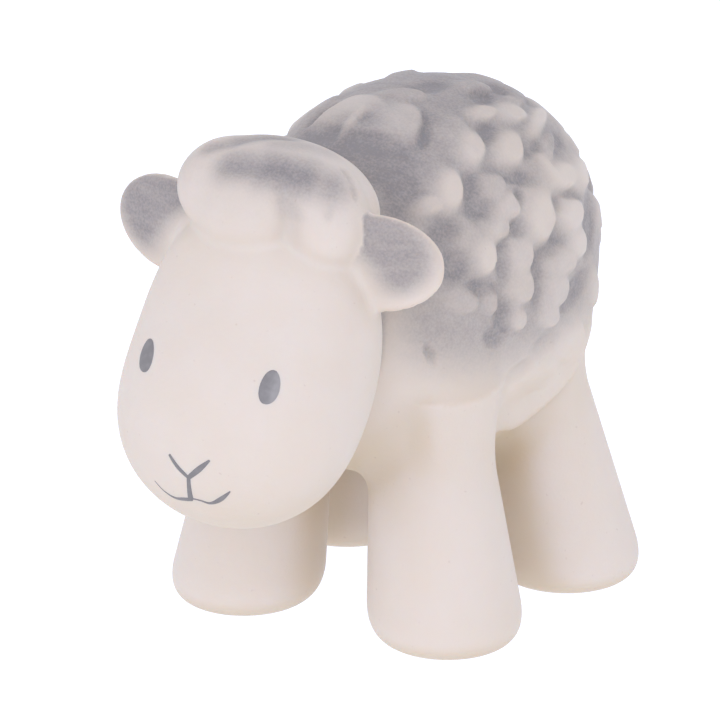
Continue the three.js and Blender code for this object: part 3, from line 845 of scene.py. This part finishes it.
def painted_shade(points, normals):
    """Painted shade, 0 to 1: where the toy's own lower forms close round a point, on undersides and
    belly.
    """
    height = points[:, 2]
    head = head_field(points)
    total = np.zeros(len(points))
    for reach in SHADE_REACHES:
        room = skin_field(points + normals * reach)
        total += np.clip(1 - room / reach, 0, 1)
    shade = smooth_step(total / len(SHADE_REACHES), *SHADE_CLOSENESS)
    shade += UNDERSIDE_SHADE * smooth_step(-normals[:, 2], *UNDERSIDE_TURN)
    belly = within(height, BELLY_LOW, BELLY_HIGH) * smooth_step(head, *BELLY_REACH)
    shade += BELLY_SHADE * belly
    shade *= 1 - UPPER_CUT * smooth_step(height, *UPPER_HEIGHTS)
    shade *= 1 - NECK_CUT * beside_neck(points, head)
    shade *= FOOT_SHARE + (1 - FOOT_SHARE) * smooth_step(height, *FOOT_HEIGHTS)
    return np.clip(shade, 0, 1)


def skin_box():
    """A box round the whole skin, with some room."""
    side = max(EAR_CENTRE[0] + EAR_RADII[0], REAR_LEG["foot"][0] + REAR_LEG["foot_radius"])
    low = np.array([-side, MUZZLE_CENTRE[1] - MUZZLE_RADII[1], 0.0]) - SKIN_MARGIN
    high = np.array([side, TORSO_RADII[1], LOCK_CENTRE[2] + LOCK_RADII[2]]) + SKIN_MARGIN
    return low, high


def rubber_skin():
    """The casting's skin, inside and out."""
    low, high = skin_box()
    points, faces = surface_of(skin_field, low, high, SKIN_CELL)
    points = evened(skin_field, settled(skin_field, points), faces, EVEN_ROUNDS)
    inner, inner_faces = surface_of(cavity_field, low, high, CAVITY_CELL)
    inner_faces = inner_faces[:, ::-1] + len(points)
    faces = np.concatenate([faces, inner_faces])
    piece = mesh_piece("rubber_skin", np.concatenate([points, inner]), faces)
    none = np.zeros(len(inner))
    # Painted shade for the outer surface; the cavity gets none
    shade = painted_shade(points, normal_of(skin_field, points))
    give_values(piece, "grey", np.concatenate([airbrush_and_painted_shade(points), none]))
    give_values(piece, "painted_shade", np.concatenate([shade, none]))
    return piece


# Painted marks


def on_face(x, z):
    """Points of the head that lie straight behind x and z, seen from the front."""
    y = np.full(x.shape, MUZZLE_CENTRE[1] - MUZZLE_RADII[1] - FACE_START)
    for _ in range(FACE_STEPS):
        y = y + np.maximum(head_field(np.stack([x, y, z], axis=-1)), 0)
    return np.stack([x, y, z], axis=-1)


def resampled(line, rows):
    """A smooth line through a few places, with evenly spread rows."""
    line = np.array(line, float)
    at = np.linspace(0, len(line) - 1, rows)
    first = np.clip(at.astype(int), 0, len(line) - 2)
    t = (at - first)[:, None]
    before = line[np.maximum(first - 1, 0)]
    a, b = line[first], line[first + 1]
    after = line[np.minimum(first + 2, len(line) - 1)]
    bend = (2 * before - 5 * a + 4 * b - after) * t**2 + (3 * a - before - 3 * b + after) * t**3
    return (2 * a + (b - before) * t + bend) / 2


def film_solid(top, bottom):
    """A closed body between two sheets of points (rows, columns, 3)."""
    rows, columns = top.shape[:2]
    index = np.arange(rows * columns).reshape(rows, columns)
    upper = np.stack([index[:-1, :-1], index[1:, :-1], index[1:, 1:], index[:-1, 1:]], axis=-1)
    lower = upper[:, :, ::-1] + rows * columns
    border = np.concatenate([index[0, :], index[1:, -1], index[-1, -2::-1], index[-2:0:-1, 0]])
    after = np.roll(border, -1)
    rim = np.stack([border, after, after + rows * columns, border + rows * columns], axis=-1)
    points = np.concatenate([top.reshape(-1, 3), bottom.reshape(-1, 3)])
    return points, np.concatenate([upper.reshape(-1, 4), lower.reshape(-1, 4), rim])


def brush_stroke(line, half):
    """A thin film of paint on the face, as wide as the brush was pressed along the line."""
    spine = resampled(line, STROKE_ROWS)
    widths = resampled(np.array(half, float)[:, None], STROKE_ROWS)[:, 0]
    along = np.gradient(spine, axis=0)
    along /= np.linalg.norm(along, axis=-1)[:, None]
    beside = np.stack([along[:, 1], -along[:, 0]], axis=-1)
    ends = np.abs(np.linspace(-1, 1, STROKE_ROWS)) ** STROKE_SQUARENESS
    across = np.sin(np.linspace(-1, 1, STROKE_COLUMNS) * math.pi / 2)
    reach = (widths * np.sqrt(np.clip(1 - ends, STROKE_BLUNTNESS, 1)))[:, None] * across
    flat = spine[:, None, :] + beside[:, None, :] * reach[..., None]
    sheet = flat.shape[:2] + (3,)
    face = on_face(flat[..., 0].ravel(), flat[..., 1].ravel())
    normal = normal_of(head_field, face).reshape(sheet)
    face = face.reshape(sheet)
    edge = np.maximum(np.abs(across)[None, :], ends[:, None])
    lift = PAINT_LIFT - (PAINT_LIFT + PAINT_EDGE) * edge**PAINT_TURN
    return film_solid(face + normal * lift[..., None], face - normal * PAINT_DEPTH)


def painted_piece(name, strokes):
    films = [brush_stroke(stroke["line"], stroke["half"]) for stroke in strokes]
    offset = 0
    faces = []
    for points, film_faces in films:
        faces.append(film_faces + offset)
        offset += len(points)
    return mesh_piece(name, np.concatenate([points for points, _ in films]), np.concatenate(faces))


def painted_eye(name, stroke):
    """An egg shape laid down as one fat stroke from its lower to its upper end."""
    lower, upper = (np.array(end) for end in stroke["line"])
    share = np.linspace(-EYE_TIP, EYE_TIP, EYE_PLACES)
    line = lower + (upper - lower) * (share[:, None] + 1) / 2
    half = stroke["half"] * np.sqrt(1 - share**2) * (1 - EYE_TAPER * share)
    piece = painted_piece(name, [{"line": line, "half": half}])
    places = np.empty(3 * len(piece.data.vertices))
    piece.data.vertices.foreach_get("co", places)
    across = (places.reshape(-1, 3)[:, 0] / MM - (lower[0] + upper[0]) / 2) / stroke["half"]
    give_values(piece, "thin", stroke["thin"] * smooth_step(across, *EYE_THIN_EDGE))
    return piece


# Closing plug


def plug_sheets():
    """The plug's outer and inner side, each as rings of points from its middle to its rim."""
    rings = np.linspace(0, 1, PLUG_RINGS + 1)[1:]
    turns = np.linspace(0, 2 * math.pi, PLUG_SECTORS, endpoint=False)
    radius = PLUG_RADIUS * np.sin(rings * math.pi / 2)
    x = (radius[:, None] * np.cos(turns)).ravel()
    y = (radius[:, None] * np.sin(turns)).ravel()
    start = np.full(x.shape, TORSO_CENTRE[2] - TORSO_RADII[2] - BELLY_START)
    belly = np.stack([x, y, start], axis=-1)
    for _ in range(BELLY_STEPS):
        belly[:, 2] += np.maximum(plain_body_field(belly), 0)
    rounding = 1 - np.sqrt(1 - np.minimum(rings, RIM_END) ** RIM_SQUARENESS)
    rim = PLUG_RECESS * RIM_HEIGHT * np.repeat(rounding, PLUG_SECTORS)
    return belly + rim[:, None] * [0, 0, 1], belly + [0, 0, PLUG_RECESS + PLUG_SEAT]


def plug_disc():
    """The closing plug: a round pad that follows the belly, with a rounded rim."""
    outer, inner = plug_sheets()
    count = len(outer)
    middles = [[0, 0, sheet[:PLUG_SECTORS, 2].mean()] for sheet in (outer, inner)]
    last = count - PLUG_SECTORS
    faces = []
    for n in range(PLUG_SECTORS):
        after = (n + 1) % PLUG_SECTORS
        faces.append((2 * count, after, n))
        faces.append((2 * count + 1, count + n, count + after))
        for ring in range(0, last, PLUG_SECTORS):
            a, b = ring + n, ring + after
            c, d = b + PLUG_SECTORS, a + PLUG_SECTORS
            faces.append((a, b, c, d))
            faces.append((a + count, d + count, c + count, b + count))
        faces.append((last + n, last + after, last + after + count, last + n + count))
    return mesh_piece("rubber_plug", np.concatenate([outer, inner, middles]), faces)


# Materials


def set_values(node, values):
    for name, value in values.items():
        node.inputs[name].default_value = value


def new_material(name, values):
    """A material, its nodes, and its shader with these values."""
    material = bpy.data.materials.new(name)
    material.use_nodes = True
    graph = material.node_tree
    shader = graph.nodes["Principled BSDF"]
    set_values(shader, values)
    return material, graph, shader


def noise(graph, scale, detail=3.0, stretch=(1.0, 1.0, 1.0)):
    """A noise over the piece's own coordinates. Its scale is in features per millimetre."""
    place = graph.nodes.new("ShaderNodeTexCoord")
    mapping = graph.nodes.new("ShaderNodeMapping")
    set_values(mapping, {"Scale": stretch})
    graph.links.new(place.outputs["Object"], mapping.inputs["Vector"])
    texture = graph.nodes.new("ShaderNodeTexNoise")
    set_values(texture, {"Scale": scale / MM, "Detail": detail})
    graph.links.new(mapping.outputs["Vector"], texture.inputs["Vector"])
    return texture.outputs["Fac"]


def spread(graph, source, across, to):
    """A value carried from one range to another, and held inside it."""
    carry = graph.nodes.new("ShaderNodeMapRange")
    set_values(carry, {"From Min": across[0], "From Max": across[1]})
    set_values(carry, {"To Min": to[0], "To Max": to[1]})
    graph.links.new(source, carry.inputs["Value"])
    return carry.outputs["Result"]


def combine(graph, operation, a, b):
    step = graph.nodes.new("ShaderNodeMath")
    step.operation = operation
    graph.links.new(a, step.inputs[0])
    graph.links.new(b, step.inputs[1])
    return step.outputs["Value"]


def blend_colours(graph, amount, a, b):
    """A colour between a and b. Each is a colour or another node's output."""
    mix = graph.nodes.new("ShaderNodeMix")
    mix.data_type = "RGBA"
    for name, colour in (("A", a), ("B", b)):
        if isinstance(colour, tuple):
            mix.inputs[name].default_value = colour
        else:
            graph.links.new(colour, mix.inputs[name])
    graph.links.new(amount, mix.inputs["Factor"])
    return mix.outputs["Result"]


def add_bump(graph, shader, height, distance, under=None):
    """Relief of this many millimetres, at half strength, over any that is coarser."""
    bump = graph.nodes.new("ShaderNodeBump")
    set_values(bump, {"Distance": distance * MM, "Strength": 0.5})
    graph.links.new(height, bump.inputs["Height"])
    if under is not None:
        graph.links.new(under, bump.inputs["Normal"])
    graph.links.new(bump.outputs["Normal"], shader.inputs["Normal"])
    return bump.outputs["Normal"]


def value_of(graph, name):
    attribute = graph.nodes.new("ShaderNodeAttribute")
    attribute.attribute_name = name
    return attribute.outputs["Fac"]


def rubber_colour(graph):
    """Cream rubber, uneven in tone, with painted shade where it is closed in, and a few specks."""
    uneven = spread(graph, noise(graph, 0.09, detail=2.0), across=(0.35, 0.65), to=(0.0, 1.0))
    cream = blend_colours(graph, uneven, CREAM, CREAM_WARM)
    # Painted shade: a deeper, warmer cream where the forms close in, on undersides and on the belly
    cream = blend_colours(graph, value_of(graph, "painted_shade"), cream, CREAM_DEEP_AND_PAINTED_SHADE)
    specks = spread(graph, noise(graph, 1.1, detail=1.0), across=(0.74, 0.82), to=(0.0, 0.3))
    return blend_colours(graph, specks, cream, SPECK)


def sprayed_and_shade_grey(graph):
    """The amount of grey, airbrush and painted shade, with the spray's powder and faint streaks
    along the body.
    """
    powder = spread(graph, noise(graph, 2.4, detail=3.4), across=(0.36, 0.66), to=(0.88, 1.09))
    streaks = noise(graph, 0.42, stretch=(0.2, 1.0, 1.7))
    streaks = spread(graph, streaks, across=(0.35, 0.65), to=(0.92, 1.06))
    grey = combine(graph, "MULTIPLY", value_of(graph, "grey"), powder)
    return combine(graph, "MULTIPLY", grey, streaks)


def rubber_material():
    values = {
        "Roughness": 0.62,
        "IOR": 1.45,
        "Subsurface Weight": 0.35,
        "Subsurface Radius": (1.0, 0.55, 0.3),
        "Subsurface Scale": 2.2 * MM,
    }
    material, graph, shader = new_material("rubber_airbrush_and_painted_shade", values)
    cream = rubber_colour(graph)
    # The airbrush's grey, with painted shade in the forelock's folds and along the head's edge
    colour = blend_colours(graph, sprayed_and_shade_grey(graph), cream, AIRBRUSH_AND_SHADE_GREY)
    graph.links.new(colour, shader.inputs["Base Color"])
    waves = add_bump(graph, shader, noise(graph, 0.12, detail=2.0), distance=0.5)
    add_bump(graph, shader, noise(graph, 1.4), distance=0.08, under=waves)
    return material


def paint_material():
    """Soft satin paint, a little uneven, and lighter where the brush left it thin."""
    material, graph, shader = new_material("face_paint_film", {"Roughness": 0.5})
    uneven = spread(graph, noise(graph, 0.8), across=(0.35, 0.65), to=(-0.15, 0.25))
    thin = combine(graph, "ADD", value_of(graph, "thin"), uneven)
    colour = blend_colours(graph, thin, PAINT_DARK, PAINT_LIGHT)
    graph.links.new(colour, shader.inputs["Base Color"])
    add_bump(graph, shader, noise(graph, 1.2), distance=0.04)
    return material


def plug_material():
    material, graph, shader = new_material("plug_rubber_matte", {"Roughness": 0.68})
    tone = spread(graph, noise(graph, 0.2), across=(0.35, 0.65), to=(0.0, 1.0))
    colour = blend_colours(graph, tone, CREAM_WARM, CREAM_DEEP_AND_PAINTED_SHADE)
    graph.links.new(colour, shader.inputs["Base Color"])
    add_bump(graph, shader, noise(graph, 1.4), distance=0.08)
    return material


def plastic_material(name, colour, clear, roughness):
    """Moulded plastic with a faint cloudiness in its tone and its gloss."""
    darkest = 0.93
    dullest = 1.3
    material, graph, shader = new_material(name, {"Transmission Weight": clear})
    cloud = spread(graph, noise(graph, 0.3), across=(0.35, 0.65), to=(0.0, 1.0))
    shaded = tuple(darkest * channel for channel in colour[:3]) + (1.0,)
    graph.links.new(blend_colours(graph, cloud, colour, shaded), shader.inputs["Base Color"])
    gloss = spread(graph, noise(graph, 0.6), across=(0.3, 0.7), to=(roughness, dullest * roughness))
    graph.links.new(gloss, shader.inputs["Roughness"])
    return material


# Stage


def add_floor():
    bpy.ops.mesh.primitive_plane_add(size=FLOOR_SIZE * MM)
    floor = bpy.context.object
    floor.name = "floor"
    values = {
        "Base Color": (FLOOR_SHADE, FLOOR_SHADE, FLOOR_SHADE, 1.0),
        "Roughness": 0.9,
        "Specular IOR Level": 0.0,
        "Emission Color": WORLD_COLOUR + (1.0,),
        "Emission Strength": FLOOR_GLOW,
    }
    material, _, _ = new_material("floor_white", values)
    floor.data.materials.append(material)


def towards(azimuth, elevation):
    """The direction to a place round the toy: azimuth 0 is in front of its nose, 90 at its left."""
    turn, rise = math.radians(azimuth), math.radians(elevation)
    level = math.cos(rise)
    return Vector((math.sin(turn) * level, -math.cos(turn) * level, math.sin(rise)))


def add_light():
    world = bpy.data.worlds.new("studio")
    bpy.context.scene.world = world
    world.use_nodes = True
    surround = {"Color": WORLD_COLOUR + (1.0,), "Strength": WORLD_STRENGTH}
    set_values(world.node_tree.nodes["Background"], surround)
    bpy.context.scene.view_settings.view_transform = "Standard"
    data = bpy.data.lights.new("softbox", "SUN")
    data.color = KEY_COLOUR
    data.energy = KEY_STRENGTH
    data.angle = math.radians(KEY_SPREAD)
    key = bpy.data.objects.new("softbox", data)
    key.rotation_euler = towards(KEY_AZIMUTH, KEY_ELEVATION).to_track_quat("Z", "Y").to_euler()
    bpy.context.scene.collection.objects.link(key)


def add_camera():
    back = towards(CAMERA_AZIMUTH, CAMERA_ELEVATION)
    target = Vector((CAMERA_TARGET + SHIFT) * MM)
    data = bpy.data.cameras.new("camera")
    data.lens = CAMERA_LENS
    data.sensor_width = CAMERA_SENSOR
    data.clip_end = CAMERA_SIGHT * MM
    camera = bpy.data.objects.new("camera", data)
    camera.location = target + back * CAMERA_DISTANCE * MM
    camera.rotation_euler = (-back).to_track_quat("-Z", "Y").to_euler()
    bpy.context.scene.collection.objects.link(camera)
    bpy.context.scene.camera = camera


def add_piece(piece, material, slot, *nodes):
    """A piece of the casting that stands for these CAD nodes."""
    piece.data.materials.append(material)
    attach(piece, "casting")
    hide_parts(*nodes)


def dress_node(name, material):
    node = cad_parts[name]
    if not node.material_slots:
        node.data.materials.append(material)
    for held in node.material_slots:
        held.material = material


add_camera()
add_light()
add_floor()

add_piece(rubber_skin(), rubber_material(), "cream_rubber", *SKIN_NODES)
add_piece(plug_disc(), plug_material(), "plug_rubber", "belly_plug")
paint = paint_material()
for name, stroke in EYE_STROKES.items():
    add_piece(painted_eye(name, stroke), paint, "face_paint", name.replace("painted_", ""))
add_piece(painted_piece("painted_nose", NOSE_STROKES), paint, "face_paint", "nose_mark")
add_piece(painted_piece("painted_mouth", MOUTH_STROKES), paint, "face_paint", "mouth_line")

capsule = plastic_material("capsule_milky", CAPSULE_MILKY, clear=0.25, roughness=0.3)
dress_node("capsule_lower", capsule)
dress_node("capsule_upper", capsule)
bead = plastic_material("bead_grey", BEAD_GREY, clear=0.0, roughness=0.18)
for number in range(1, BEAD_COUNT + 1):
    dress_node(f"bead_{number}", bead)
